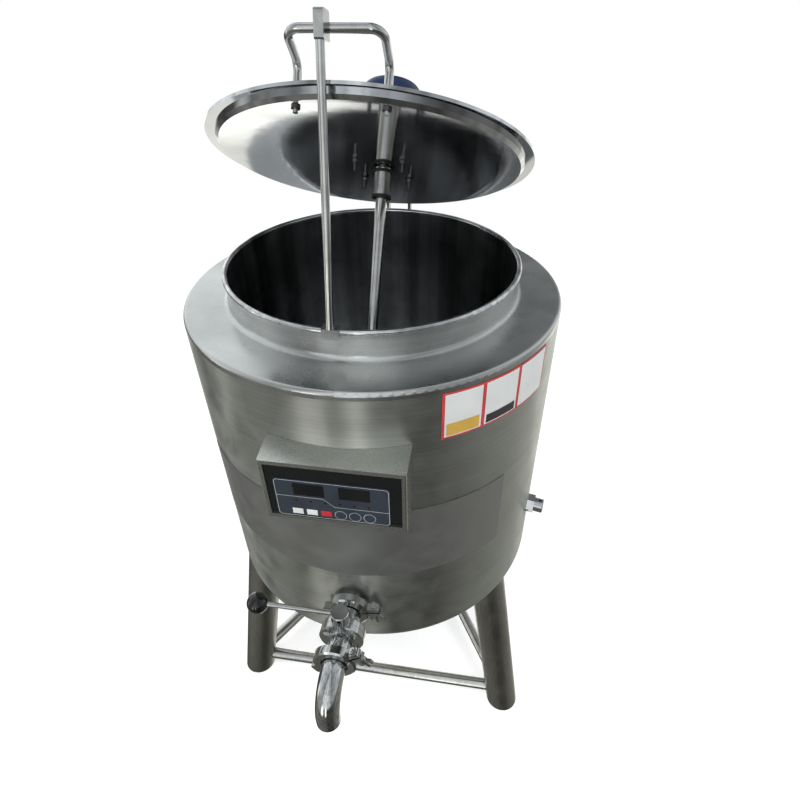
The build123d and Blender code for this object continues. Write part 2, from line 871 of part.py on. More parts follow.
# Clip at the prop's foot: a bent sheet saddle over the rim
clip_front = rim_r + rim_rod / 2 + 0.6 + clip_sheet
with BuildPart() as prop_clip:
    with BuildSketch(Plane.YZ.offset(prop_x - clip_width / 2)):
        ring_section(
            [
                (-clip_front, foot_height - clip_skirt),
                (-clip_front, foot_height),
                (-rim_r + clip_back, foot_height),
                (-rim_r + clip_back, foot_height - clip_sheet),
                (-clip_front + clip_sheet, foot_height - clip_sheet),
                (-clip_front + clip_sheet, foot_height - clip_skirt),
            ]
        )
    extrude(amount=clip_width)
    fillet(prop_clip.edges().filter_by(Axis.Y).group_by(Axis.Z)[0], 4)

# Motor plate: a square plate on four pads that stand on the lid
plate_under = motor_plate_rise - motor_plate_thickness
pad_r = 8.0
with BuildPart() as motor_plate:
    with BuildSketch(lid_plane(0, shaft_y, plate_under)):
        RectangleRounded(motor_plate_size, motor_plate_size, 8)
    extrude(amount=motor_plate_thickness)
    with BuildSketch(lid_plane(0, shaft_y, 0)):
        with GridLocations(stud_pitch, stud_pitch, 2, 2):
            Circle(pad_r)
    extrude(amount=plate_under)
    with BuildSketch(lid_section(0, 0)):
        with BuildLine():
            dome = Spline(
                *[(x, z + lid_sheet + joint_gap) for x, z in crown_points],
                tangents=[(1, 0), (1, -crown_slope)],
            )
            Polyline(dome @ 1, (crown_r, -lid_crown), (0, -lid_crown), dome @ 0)
        make_face()
    revolve(axis=lid_axis(0, 0), mode=Mode.SUBTRACT)
    with BuildSketch(lid_plane(0, shaft_y, 0)):
        Circle(shaft_diameter / 2 + 3)
        with GridLocations(stud_pitch, stud_pitch, 2, 2):
            Circle(stud_diameter / 2 + joint_gap)
    extrude(amount=2 * motor_plate_rise, mode=Mode.SUBTRACT)

# Lid fasteners: the handle's nuts, and the studs through gearbox, plate and lid with theirs
nut_thickness = 5.0
front_stud_r = hypot(stud_pitch / 2, shaft_y - stud_pitch / 2)
rear_stud_r = hypot(stud_pitch / 2, shaft_y + stud_pitch / 2)
handle_nut_face = lid_underside(foot_r + handle_stud) - 0.3
with BuildPart() as lid_fasteners:
    for x in (left, right):
        with BuildSketch(lid_plane(x, -handle_foot_y, handle_nut_face - nut_thickness)):
            RegularPolygon(nut_thickness, 6, major_radius=False)
            Circle(handle_stud / 2 + 0.05, mode=Mode.SUBTRACT)
        extrude(amount=nut_thickness)
    for y, radius in ((-stud_pitch / 2, front_stud_r), (stud_pitch / 2, rear_stud_r)):
        nut_face = lid_underside(radius + nut_thickness) - 0.2
        with BuildSketch(lid_plane(0, shaft_y + y, nut_face - nut_thickness)):
            with GridLocations(stud_pitch, 1, 2, 1):
                RegularPolygon(nut_thickness, 6, major_radius=False)
        extrude(amount=nut_thickness)
        with BuildSketch(lid_plane(0, shaft_y + y, nut_face - nut_thickness - 13)):
            with GridLocations(stud_pitch, 1, 2, 1):
                Circle(stud_diameter / 2)
        extrude(amount=motor_plate_rise + 14 + 13 + nut_thickness - nut_face)

# Gearbox and motor over the plate
gear_base = motor_plate_rise
motor_base = gear_base + gearbox_height
cap_base = motor_base + motor_height
with BuildPart() as gearbox:
    with BuildSketch(lid_plane(0, shaft_y, gear_base)):
        RectangleRounded(gearbox_size, gearbox_size, 10)
        with GridLocations(stud_pitch, stud_pitch, 2, 2):
            Circle(stud_diameter / 2 + joint_gap, mode=Mode.SUBTRACT)
    extrude(amount=gearbox_foot)
    with BuildSketch(lid_plane(0, shaft_y, gear_base + gearbox_foot)):
        Circle(gearbox_size / 2 - 4)
    extrude(amount=gearbox_waist)
    with BuildSketch(lid_plane(0, shaft_y, gear_base + gearbox_foot + gearbox_waist)):
        RectangleRounded(gearbox_size, gearbox_size, 10)
    extrude(amount=gearbox_height - gearbox_foot - gearbox_waist)
    with BuildSketch(lid_plane(0, shaft_y, gear_base)):
        Circle(shaft_diameter / 2 + running_gap)
    extrude(amount=shaft_socket + 2, mode=Mode.SUBTRACT)
    chamfer(gearbox.faces().sort_by(lid_axis(0, 0))[-1].edges(), 1.5)

with BuildPart() as motor_body:
    with BuildSketch(lid_plane(motor_offset, shaft_y, motor_base)):
        Circle(motor_diameter / 2 - 3)
    extrude(amount=motor_height)
    with BuildSketch(lid_plane(motor_offset, shaft_y, motor_base + 6)):
        with PolarLocations(motor_diameter / 2 - 3, 24):
            Rectangle(6, 2.2)
    extrude(amount=motor_height - 12)

with BuildPart() as motor_cap:
    with BuildSketch(lid_section(motor_offset, shaft_y)):
        with BuildLine():
            side = Line((motor_diameter / 2, cap_base), (motor_diameter / 2, cap_base + 8))
            shoulder = TangentArc(
                side @ 1, (motor_diameter / 2 - 16, cap_base + motor_cap_height - 3), tangent=side % 1
            )
            Polyline(
                shoulder @ 1,
                (0, cap_base + motor_cap_height),
                (0, cap_base),
                side @ 0,
            )
        make_face()
    revolve(axis=lid_axis(motor_offset, shaft_y))

# Sleeve under the lid that guards the shaft, with its gasket ring and its lip seal
sleeve_top = lid_underside(shaft_y + sleeve_diameter) - 1.0
with BuildPart() as seal_sleeve:
    with BuildSketch(lid_plane(0, shaft_y, -sleeve_drop)):
        Circle(sleeve_diameter / 2)
        Circle(sleeve_diameter / 2 - sleeve_wall, mode=Mode.SUBTRACT)
    extrude(amount=sleeve_drop + sleeve_top)

with BuildPart() as sleeve_seals:
    with BuildSketch(lid_plane(0, shaft_y, sleeve_top - seal_thickness)):
        Circle(seal_ring_diameter / 2)
        Circle(sleeve_diameter / 2 + 0.1, mode=Mode.SUBTRACT)
    extrude(amount=seal_thickness)
    with BuildSketch(lid_plane(0, shaft_y, -sleeve_drop - seal_thickness)):
        Circle(lip_seal_diameter / 2)
        Circle(shaft_diameter / 2 + running_gap, mode=Mode.SUBTRACT)
    extrude(amount=seal_thickness)

# Agitator shaft, from the gearbox down to the impeller
shaft_bottom = shaft_end - rim_top
with BuildPart() as agitator_shaft:
    with BuildSketch(lid_plane(0, shaft_y, shaft_bottom)):
        Circle(shaft_diameter / 2)
    extrude(amount=gear_base + shaft_socket - shaft_bottom)
    chamfer(agitator_shaft.edges().sort_by(lid_axis(0, 0))[0], 1.5)

# Impeller: a hub with pitched blades, pinned to the shaft's end
with BuildPart() as impeller:
    with BuildSketch(lid_plane(0, shaft_y, shaft_bottom + 4)):
        Circle(impeller_hub / 2)
    extrude(amount=blade_height + 6)
    for blade in range(impeller_blades):
        turn = radians(360 / impeller_blades * blade)
        hub_plane = lid_plane(0, shaft_y, shaft_bottom + 4 + blade_height / 2 + 3)
        reach = hub_plane.x_dir * cos(turn) + hub_plane.y_dir * sin(turn)
        sideways = lid_normal.cross(reach)
        tilt = radians(blade_pitch)
        across = lid_normal * cos(tilt) + sideways * sin(tilt)
        with BuildSketch(
            Plane(origin=hub_plane.origin + reach * (impeller_hub / 2 - 6), x_dir=across, z_dir=reach)
        ):
            RectangleRounded(blade_height, blade_thickness, blade_thickness / 2 - 0.1)
        extrude(amount=impeller_diameter / 2 - impeller_hub / 2 + 6)
    with BuildSketch(lid_plane(0, shaft_y, shaft_bottom - 10)):
        Circle(shaft_diameter / 2 + 0.02)
    extrude(amount=60, mode=Mode.SUBTRACT)

# Outlet: everything below is turned or lined up about the outlet's axis
valve_section = Plane(
    origin=(outlet_offset, 0, outlet_z), x_dir=(0, -1, 0), z_dir=(-1, 0, 0)
)
valve_axis = Axis((outlet_offset, 0, outlet_z), (0, -1, 0))
pipe_r = pipe_diameter / 2
ferrule_r = ferrule_diameter / 2
front_joint = rear_joint + valve_length
valve_mid = (rear_joint + front_joint) / 2


def valve_plane(distance):
    """Plane square to the outlet's axis, at a distance in front of the tank's axis."""
    return Plane(
        origin=(outlet_offset, -distance, outlet_z), x_dir=(1, 0, 0), z_dir=(0, -1, 0)
    )


def turned(points):
    """Turned piece about the outlet's axis, from (distance, radius) points."""
    with BuildSketch(valve_section) as section:
        ring_section(points)
    revolve(section.sketch, axis=valve_axis)


half_gasket = ferrule_gasket / 2
with BuildPart() as outlet_spud:
    face = rear_joint - half_gasket
    turned(
        [
            (tank_r - 1, pipe_r - pipe_wall),
            (tank_r - 1, pipe_r),
            (face - ferrule_thickness, pipe_r),
            (face - ferrule_thickness + 2, ferrule_r),
            (face, ferrule_r),
            (face, pipe_r - pipe_wall),
        ]
    )
    with BuildSketch(Plane.XY.offset(outlet_z - pipe_diameter)):
        Circle(tank_r)
    extrude(amount=2 * pipe_diameter, mode=Mode.SUBTRACT)

with BuildPart() as valve_gaskets:
    for joint in (rear_joint, front_joint):
        turned(
            [
                (joint - half_gasket, pipe_r - pipe_wall),
                (joint - half_gasket, ferrule_r),
                (joint + half_gasket, ferrule_r),
                (joint + half_gasket, pipe_r - pipe_wall),
            ]
        )


def valve_half(joint, mid, way):
    """Half of the valve's body: ferrule, neck and bolted flange, from its joint to the middle."""
    face = joint + way * half_gasket
    flange = mid - way * body_half
    turned(
        [
            (face, pipe_r - pipe_wall),
            (face, ferrule_r),
            (face + way * (ferrule_thickness - 2), ferrule_r),
            (face + way * ferrule_thickness, pipe_r),
            (flange - way * 3, pipe_r),
            (flange, pipe_r + 3.5),
            (flange, body_diameter / 2 - 1.5),
            (flange + way * 1.5, body_diameter / 2),
            (mid - way * 0.2, body_diameter / 2),
            (mid - way * 0.2, pipe_r + seat_wall),
            (mid - way * seat_width / 2, pipe_r + seat_wall),
            (mid - way * seat_width / 2, pipe_r - pipe_wall),
        ]
    )


bolt_places = [(x, z) for x in (-1, 1) for z in (-1, 1)]
bolt_offset = body_bolt_circle / 2 / sqrt(2)


def body_bores():
    """Bolt holes and the stem's bore, cut through both halves of the body."""
    with BuildSketch(valve_plane(valve_mid - body_half - 4)) as bolt_holes:
        with Locations(*[(x * bolt_offset, z * bolt_offset) for x, z in bolt_places]):
            Circle(body_bolt / 2 + 0.2)
    extrude(bolt_holes.sketch, amount=2 * body_half + 8, mode=Mode.SUBTRACT)
    with BuildSketch(Plane.XY.offset(outlet_z)) as stem_bore:
        with Locations((outlet_offset, -valve_mid)):
            Circle(stem_diameter / 2 + running_gap)
    extrude(stem_bore.sketch, amount=boss_top + 1, mode=Mode.SUBTRACT)
    with BuildSketch(Plane.XY.offset(outlet_z + boss_foot)) as boss_seat:
        with Locations((outlet_offset, -valve_mid)):
            Circle(boss_diameter / 2 + joint_gap)
    extrude(boss_seat.sketch, amount=body_diameter, mode=Mode.SUBTRACT)


with BuildPart() as valve_body:
    valve_half(rear_joint, valve_mid, 1)
    valve_half(front_joint, valve_mid, -1)
    body_bores()

# Stem boss: the collar that guides the stem, seated in a pocket of the body
with BuildPart() as stem_boss:
    with BuildSketch(Plane.XY.offset(outlet_z + boss_foot + joint_gap)):
        with Locations((outlet_offset, -valve_mid)):
            Circle(boss_diameter / 2)
            Circle(stem_diameter / 2 + running_gap, mode=Mode.SUBTRACT)
    extrude(amount=boss_top - boss_foot - joint_gap)

with BuildPart() as valve_seat:
    inner_seat = seat_width / 2 - 0.1
    turned(
        [
            (valve_mid - inner_seat, pipe_r - pipe_wall),
            (valve_mid - inner_seat, pipe_r + seat_wall - 0.1),
            (valve_mid + inner_seat, pipe_r + seat_wall - 0.1),
            (valve_mid + inner_seat, pipe_r - pipe_wall),
        ]
    )
    with BuildSketch(Plane.XY.offset(outlet_z)):
        with Locations((outlet_offset, -valve_mid)):
            Circle(stem_diameter / 2 + joint_gap)
    extrude(amount=ferrule_diameter, mode=Mode.SUBTRACT)

# Butterfly disc with its stem, the hub, the lever and the knob
disc_r = pipe_r - pipe_wall - disc_gap
with BuildPart() as valve_disc:
    with BuildSketch(valve_plane(valve_mid - disc_thickness / 2)):
        Circle(disc_r)
    extrude(amount=disc_thickness)
    chamfer(valve_disc.edges().filter_by(GeomType.CIRCLE), 0.8)
    with BuildSketch(Plane.XY.offset(outlet_z - disc_r + 3)):
        with Locations((outlet_offset, -valve_mid)):
            Circle(stem_diameter / 2)
    extrude(amount=disc_r - 3 + boss_top + 6)

with BuildPart() as valve_hub:
    with BuildSketch(Plane.XY.offset(outlet_z + boss_top + joint_gap)):
        with Locations((outlet_offset, -valve_mid)):
            Circle(hub_diameter / 2)
    extrude(amount=hub_top - boss_top - joint_gap)
    chamfer(valve_hub.edges().group_by(Axis.Z)[-1], 1.2)
    with BuildSketch(Plane.XY.offset(outlet_z + boss_top)):
        with Locations((outlet_offset, -valve_mid)):
            Circle(stem_diameter / 2 + 0.02)
    extrude(amount=6.5, mode=Mode.SUBTRACT)

lever_z = outlet_z + hub_top - lever_drop
lever_plane = Plane(
    origin=(outlet_offset - hub_diameter / 2 + 0.3, -valve_mid, lever_z), z_dir=(-1, 0, 0)
)
with BuildPart() as valve_lever:
    with BuildSketch(lever_plane):
        Circle(lever_rod / 2)
    extrude(amount=lever_length + 6)
    with BuildSketch(Plane.XY.offset(lever_z - hub_diameter)):
        with Locations((outlet_offset, -valve_mid)):
            Circle(hub_diameter / 2 + 0.05)
    extrude(amount=2 * hub_diameter, mode=Mode.SUBTRACT)

knob_x = outlet_offset - hub_diameter / 2 - lever_length
with BuildPart() as lever_knob:
    with Locations((knob_x, -valve_mid, lever_z)):
        Sphere(knob_diameter / 2)
    with BuildSketch(lever_plane):
        Circle(lever_rod / 2 + 0.1)
    extrude(amount=lever_length + 6.3, mode=Mode.SUBTRACT)

# Bolts through the body's flanges, with heads in front and nuts behind
with BuildPart() as body_bolts:
    with BuildSketch(valve_plane(valve_mid - body_half - 8)):
        with Locations(*[(x * bolt_offset, z * bolt_offset) for x, z in bolt_places]):
            Circle(body_bolt / 2)
    extrude(amount=2 * body_half + 12)
    with BuildSketch(
        valve_plane(valve_mid - body_half - 5.2), valve_plane(valve_mid + body_half + 0.2)
    ):
        with Locations(*[(x * bolt_offset, z * bolt_offset) for x, z in bolt_places]):
            RegularPolygon(5, 6, major_radius=False)
    extrude(amount=5)

# Elbow that turns the outlet down, with its own ferrule
with BuildPart() as outlet_elbow:
    face = front_joint + half_gasket
    lead_end = face + ferrule_thickness + elbow_lead
    with BuildLine() as elbow_path:
        lead = Line((outlet_offset, -face, outlet_z), (outlet_offset, -lead_end, outlet_z))
        bend = TangentArc(
            lead @ 1,
            (outlet_offset, -lead_end - elbow_radius, outlet_z - elbow_radius),
            tangent=lead % 1,
        )
        Line(bend @ 1, (bend @ 1) - Vector(0, 0, elbow_tail))
    with BuildSketch(valve_plane(face)):
        Circle(pipe_r)
        Circle(pipe_r - pipe_wall, mode=Mode.SUBTRACT)
    sweep(path=elbow_path.wires()[0])
    turned(
        [
            (face, pipe_r - pipe_wall),
            (face, ferrule_r),
            (face + ferrule_thickness - 2, ferrule_r),
            (face + ferrule_thickness, pipe_r - pipe_wall / 2),
            (face + ferrule_thickness, pipe_r - pipe_wall),
        ]
    )


# Clamps: a split ring that grips a pair of ferrules, with a swing bolt at its open side
half_width = half_gasket + ferrule_thickness + clamp_gap
clamp_lip = half_width + clamp_wall
clamp_r = clamp_diameter / 2
clamp_bore = pipe_r + 2.5
bolt_out = clamp_r + clamp_ear / 2 + 1
clamp_bolt = 6.0
wing_depth = 9.0


def clamp_plane(joint, turn, distance):
    """Plane square to the outlet's axis, turned so that its x runs to the clamp's bolt."""
    flat = valve_plane(joint + distance)
    return Plane(origin=flat.origin, x_dir=flat.x_dir.rotate(valve_axis, turn), z_dir=flat.z_dir)


def bolt_plane(joint, turn, height):
    """Plane square to the clamp's bolt, centred on it."""
    flat = clamp_plane(joint, turn, 0)
    return Plane(
        origin=flat.origin + flat.x_dir * bolt_out + flat.y_dir * height,
        x_dir=flat.x_dir,
        z_dir=flat.y_dir,
    )


def make_clamp(joint, turn):
    with BuildPart() as clamp:
        turned(
            [
                (joint - clamp_lip, clamp_bore),
                (joint - clamp_lip, clamp_r - 3),
                (joint - clamp_lip + 2, clamp_r),
                (joint + clamp_lip - 2, clamp_r),
                (joint + clamp_lip, clamp_r - 3),
                (joint + clamp_lip, clamp_bore),
                (joint + half_width, clamp_bore),
                (joint + half_gasket + 3, ferrule_r + clamp_gap),
                (joint - half_gasket - 3, ferrule_r + clamp_gap),
                (joint - half_width, clamp_bore),
            ]
        )
        for side, reach in ((1, clamp_ear), (-1, clamp_ear / 2)):
            with BuildSketch(clamp_plane(joint, turn, 2 - clamp_lip)):
                with Locations((side * (clamp_r - 2 + reach / 2), 0)):
                    RectangleRounded(reach + 4, clamp_ear, 3)
                Circle(clamp_r - 3, mode=Mode.SUBTRACT)
            extrude(amount=2 * clamp_lip - 4)
        with BuildSketch(clamp_plane(joint, turn, -clamp_lip)):
            with Locations((clamp_r, 0)):
                Rectangle(2 * clamp_r, clamp_split)
            with Locations((-(clamp_bore + clamp_r) / 2, 0)):
                Rectangle(clamp_r - clamp_bore - 1, clamp_split / 3)
        extrude(amount=2 * clamp_lip, mode=Mode.SUBTRACT)
        with BuildSketch(bolt_plane(joint, turn, -clamp_ear)):
            Circle(clamp_bolt / 2 + joint_gap)
        extrude(amount=2 * clamp_ear, mode=Mode.SUBTRACT)
    return clamp


rear_clamp = make_clamp(rear_joint, rear_clamp_turn)
front_clamp = make_clamp(front_joint, front_clamp_turn)

# Swing bolts of the clamps, each with its nut above and its wing nut below
wing_span = 25.0
with BuildPart() as clamp_wing_nuts:
    for joint, turn in ((rear_joint, rear_clamp_turn), (front_joint, front_clamp_turn)):
        ear_half = clamp_ear / 2 + joint_gap
        with BuildSketch(bolt_plane(joint, turn, -ear_half - 2 * wing_depth - 4)):
            Circle(clamp_bolt / 2)
        extrude(amount=2 * ear_half + 2 * wing_depth + 10)
        with BuildSketch(bolt_plane(joint, turn, -ear_half - wing_depth)):
            Circle(clamp_bolt)
        extrude(amount=wing_depth)
        with BuildSketch(bolt_plane(joint, turn, ear_half)):
            RegularPolygon(5, 6, major_radius=False)
        extrude(amount=4)
        with BuildSketch(clamp_plane(joint, turn, -1.5)):
            for way in (-1, 1):
                with BuildLine():
                    Polyline(
                        (bolt_out + way * 4, -ear_half - 3),
                        (bolt_out + way * 4, -ear_half - wing_depth),
                        (bolt_out + way * 8, -ear_half - 2 * wing_depth),
                        (bolt_out + way * wing_span / 2, -ear_half - 2 * wing_depth + 2),
                        (bolt_out + way * wing_span / 2, -ear_half - wing_depth),
                        close=True,
                    )
                make_face()
        extrude(amount=3)

# Jacket port: a hexagon nut on the skin and a plug with a hole for a bar
with BuildPart() as port_nut_ring:
    with BuildSketch(port_plane.offset(jacket_r - 1)):
        RegularPolygon(port_nut / 2, 6, major_radius=False)
        Circle(port_plug / 2 - 3, mode=Mode.SUBTRACT)
    extrude(amount=port_nut_thickness + 1)
    with BuildSketch(Plane.XY.offset(port_z - port_nut)):
        Circle(jacket_r + weld_gap)
    extrude(amount=2 * port_nut, mode=Mode.SUBTRACT)

with BuildPart() as port_cap:
    with BuildSketch(port_plane.offset(jacket_r + port_nut_thickness)):
        Circle(port_plug / 2)
    extrude(amount=port_plug_length - port_nut_thickness)
    chamfer(port_cap.faces().sort_by(Axis((0, 0, 0), port_plane.z_dir))[-1].edges(), 1.5)
    with BuildSketch(port_plane.offset(water_r - 1)):
        Circle(port_plug / 2 - 3.1)
    extrude(amount=jacket_r + port_nut_thickness - water_r + 1)
    with BuildSketch(Plane.XY.offset(port_z - port_nut)):
        middle = port_plane.z_dir * (jacket_r + port_nut_thickness + 10)
        with Locations((middle.X, middle.Y)):
            Circle(port_cross_hole / 2)
    extrude(amount=2 * port_nut, mode=Mode.SUBTRACT)

pieces = {
    "inner_tank": inner_tank,
    "water_jacket": water_jacket,
    "insulation": insulation,
    "outer_jacket": outer_jacket,
    "shoulder_ring": shoulder_ring,
    "bottom_shell": bottom_shell,
    "heater_element": heater_element,
    "leg_left": leg_left,
    "leg_right": leg_right,
    "leg_rear": leg_rear,
    "foot_plates": foot_plates,
    "brace_front": brace_front,
    "brace_right": brace_right,
    "brace_left": brace_left,
    "control_box": control_box,
    "fascia_plate": fascia_plate,
    "control_panel": control_panel,
    "display_windows": display_windows,
    "indicator_lights": indicator_lights,
    "controller_board": controller_board,
    "cable_gland": cable_gland,
    "lid_shell": lid_shell,
    "lid_handle": lid_handle,
    "hinge_bracket": hinge_bracket,
    "hinge_leaf": hinge_leaf,
    "hinge_pin": hinge_pin,
    "prop_head": prop_head,
    "prop_rod": prop_rod,
    "prop_clip": prop_clip,
    "motor_plate": motor_plate,
    "lid_fasteners": lid_fasteners,
    "gearbox": gearbox,
    "motor_body": motor_body,
    "motor_cap": motor_cap,
    "seal_sleeve": seal_sleeve,
    "sleeve_seals": sleeve_seals,
    "agitator_shaft": agitator_shaft,
    "impeller": impeller,
    "outlet_spud": outlet_spud,
    "valve_gaskets": valve_gaskets,
    "valve_body": valve_body,
    "stem_boss": stem_boss,
    "valve_seat": valve_seat,
    "valve_disc": valve_disc,
    "valve_hub": valve_hub,
    "valve_lever": valve_lever,
    "lever_knob": lever_knob,
    "body_bolts": body_bolts,
    "outlet_elbow": outlet_elbow,
    "rear_clamp": rear_clamp,
    "front_clamp": front_clamp,
    "clamp_wing_nuts": clamp_wing_nuts,
    "port_nut_ring": port_nut_ring,
    "port_cap": port_cap,
}
pieces.update(zip(key_names, keys))

# The tank's axis lies behind the origin, so that the origin is under the middle of the whole
axis_back = 55.5
os.makedirs("parts", exist_ok=True)
for name, piece in pieces.items():
    placed = piece.part.moved(Location((0, axis_back, 0)))
    placed.label = name
    export_step(placed, f"parts/{name}.step")
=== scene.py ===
from math import cos, pi, radians, sin

import bmesh
import bpy
from mathutils import Matrix, Vector


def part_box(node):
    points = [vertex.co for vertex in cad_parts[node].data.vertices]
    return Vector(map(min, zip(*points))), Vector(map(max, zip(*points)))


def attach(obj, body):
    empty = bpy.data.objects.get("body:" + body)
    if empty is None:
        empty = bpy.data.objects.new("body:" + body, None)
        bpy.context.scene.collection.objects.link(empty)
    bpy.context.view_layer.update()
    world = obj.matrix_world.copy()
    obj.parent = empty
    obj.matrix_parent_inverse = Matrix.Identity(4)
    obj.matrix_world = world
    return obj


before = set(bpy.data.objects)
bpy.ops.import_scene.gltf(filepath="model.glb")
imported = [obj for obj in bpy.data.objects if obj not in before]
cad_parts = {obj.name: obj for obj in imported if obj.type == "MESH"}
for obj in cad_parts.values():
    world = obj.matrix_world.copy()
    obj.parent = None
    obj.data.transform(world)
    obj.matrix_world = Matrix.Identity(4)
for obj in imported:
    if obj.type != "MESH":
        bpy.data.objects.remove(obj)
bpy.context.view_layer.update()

# Camera: held a little to the right of the machine's middle, at chest height, looking down on
# it. Its place comes from a fit to the rim, the jacket, the legs and the box, and is measured
# from the tank's upright axis.
skin_low, skin_high = (Vector(corner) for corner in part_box("outer_jacket"))
axis_x = (skin_low.x + skin_high.x) / 2
axis_y = (skin_low.y + skin_high.y) / 2
skin_r = (skin_high.x - skin_low.x) / 2
camera_data = bpy.data.cameras.new("camera")
camera = bpy.data.objects.new("camera", camera_data)
bpy.context.scene.collection.objects.link(camera)
right_of_axis, before_axis, camera_height = 0.1919, 0.8346, 1.3634
camera_place = Vector((axis_x + right_of_axis, axis_y - before_axis, camera_height))
forward = Vector((-0.1244, 0.7846, -0.6074)).normalized()
roll = radians(-0.40)
level = forward.cross(Vector((0, 0, 1))).normalized()
upward = level.cross(forward)
camera_right = level * cos(roll) + upward * sin(roll)
camera_up = upward * cos(roll) - level * sin(roll)
turn = Matrix((camera_right, camera_up, -forward)).transposed()
camera.matrix_world = Matrix.Translation(camera_place) @ turn.to_4x4()
camera_data.sensor_width = 36.0
camera_data.lens = 25.53
camera_data.shift_x = -0.01425
camera_data.shift_y = 0.00225
camera_data.clip_start = 0.02
bpy.context.scene.camera = camera
bpy.context.scene.view_settings.view_transform = "Standard"


# Workshop: seen only in the steel. Its walls, lights and dark corners go round the machine as
# they do in the photograph's reflections, and the camera sees plain white behind the machine.
def ramp(nodes, stops):
    """Colour ramp node; a stop's value is a grey or an (r, g, b) colour."""
    node = nodes.new("ShaderNodeValToRGB")
    while len(node.color_ramp.elements) < len(stops):
        node.color_ramp.elements.new(0.5)
    for element, (where, value) in zip(node.color_ramp.elements, stops):
        element.position = where
        element.color = (value, value, value, 1) if isinstance(value, float) else (*value, 1)
    return node


def mix(nodes, links, kind, factor, first, second):
    """Mix two colours; each input is a socket or a plain value."""
    node = nodes.new("ShaderNodeMix")
    node.data_type = "RGBA"
    node.blend_type = kind
    for name, value in (("Factor", factor), ("A", first), ("B", second)):
        socket = next(s for s in node.inputs if s.name == name and s.enabled)
        if isinstance(value, bpy.types.NodeSocket):
            links.new(value, socket)
        else:
            socket.default_value = value
    return next(s for s in node.outputs if s.enabled)


world = bpy.data.worlds.new("workshop")
bpy.context.scene.world = world
world.use_nodes = True
nodes, links = world.node_tree.nodes, world.node_tree.links
nodes.clear()
wall_clutter, clutter_scale = 0.85, 7.0
glare_colour = (2.3, 2.3, 2.2, 1)
room_strength = 1.25
direction = nodes.new("ShaderNodeTexCoord")
axes = nodes.new("ShaderNodeSeparateXYZ")
links.new(direction.outputs["Generated"], axes.inputs[0])
height = nodes.new("ShaderNodeMapRange")
height.inputs["From Min"].default_value = -1.0
height.inputs["From Max"].default_value = 1.0
links.new(axes.outputs["Z"], height.inputs["Value"])
heading = nodes.new("ShaderNodeMath")
heading.operation = "ARCTAN2"
links.new(axes.outputs["X"], heading.inputs[0])
links.new(axes.outputs["Y"], heading.inputs[1])
around = nodes.new("ShaderNodeMapRange")
around.inputs["From Min"].default_value = -pi
around.inputs["From Max"].default_value = pi
links.new(heading.outputs[0], around.inputs["Value"])

# Round the machine, 0 and 1 are the front, 0.25 the left, 0.5 the back and 0.75 the right.
floor_and_benches = ramp(
    nodes,
    [
        (0.0, 0.13),
        (0.03, 0.13),
        (0.06, 0.16),
        (0.10, 0.18),
        (0.135, 0.16),
        (0.18, 0.22),
        (0.22, 0.22),
        (0.25, 0.13),
        (0.29, 0.06),
        (0.33, 0.13),
        (0.37, 0.60),
        (0.41, 1.40),
        (0.46, 1.40),
        (0.50, 0.80),
        (0.57, 1.15),
        (0.61, 1.00),
        (0.65, 0.40),
        (0.70, 0.28),
        (0.78, 0.22),
        (0.83, 0.13),
        (0.87, 0.08),
        (0.95, 0.06),
        (0.985, 0.08),
        (1.0, 0.13),
    ],
)
links.new(around.outputs[0], floor_and_benches.inputs[0])
low_tint = ramp(nodes, [(0.0, (0.78, 0.78, 0.70)), (0.2, (1.0, 1.0, 0.93)), (0.45, (1.05, 1.06, 1.02))])
links.new(height.outputs[0], low_tint.inputs[0])
low = mix(nodes, links, "MULTIPLY", 1.0, floor_and_benches.outputs[0], low_tint.outputs[0])
windows_and_roof = ramp(
    nodes,
    [
        (0.0, 1.10),
        (0.07, 0.90),
        (0.11, 0.38),
        (0.20, 0.75),
        (0.30, 0.95),
        (0.38, 1.25),
        (0.42, 1.20),
        (0.445, 0.45),
        (0.47, 0.26),
        (0.50, 0.19),
        (0.53, 0.23),
        (0.57, 0.45),
        (0.62, 0.75),
        (0.70, 0.85),
        (0.78, 0.55),
        (0.89, 0.34),
        (0.94, 0.80),
        (1.0, 1.10),
    ],
)
links.new(around.outputs[0], windows_and_roof.inputs[0])
high_tint = ramp(nodes, [(0.5, (0.86, 0.88, 0.88)), (0.62, (0.96, 1.0, 1.02)), (1.0, (0.62, 0.65, 0.67))])
links.new(height.outputs[0], high_tint.inputs[0])
high = mix(nodes, links, "MULTIPLY", 1.0, windows_and_roof.outputs[0], high_tint.outputs[0])
horizon = ramp(nodes, [(0.47, 0.0), (0.53, 1.0)])
links.new(height.outputs[0], horizon.inputs[0])
room = mix(nodes, links, "MIX", horizon.outputs[0], low, high)
clutter = nodes.new("ShaderNodeTexNoise")
clutter.inputs["Scale"].default_value = clutter_scale
clutter.inputs["Detail"].default_value = 2.0
links.new(direction.outputs["Generated"], clutter.inputs["Vector"])
clutter_tone = ramp(nodes, [(0.34, 0.45), (0.48, 0.80), (0.58, 1.0), (0.68, 1.0)])
links.new(clutter.outputs["Fac"], clutter_tone.inputs[0])
room = mix(nodes, links, "MULTIPLY", wall_clutter, room, clutter_tone.outputs[0])
lamp_row = ramp(
    nodes,
    [
        (0.0, 1.0),
        (0.008, 1.0),
        (0.016, 0.0),
        (0.045, 0.0),
        (0.060, 0.85),
        (0.085, 0.85),
        (0.10, 0.10),
        (0.20, 0.05),
        (0.225, 0.45),
        (0.24, 0.45),
        (0.255, 0.0),
        (0.985, 0.0),
        (0.995, 1.0),
    ],
)
links.new(around.outputs[0], lamp_row.inputs[0])
lamp_height = ramp(nodes, [(0.30, 0.0), (0.37, 1.0), (0.48, 1.0), (0.53, 0.0)])
links.new(height.outputs[0], lamp_height.inputs[0])
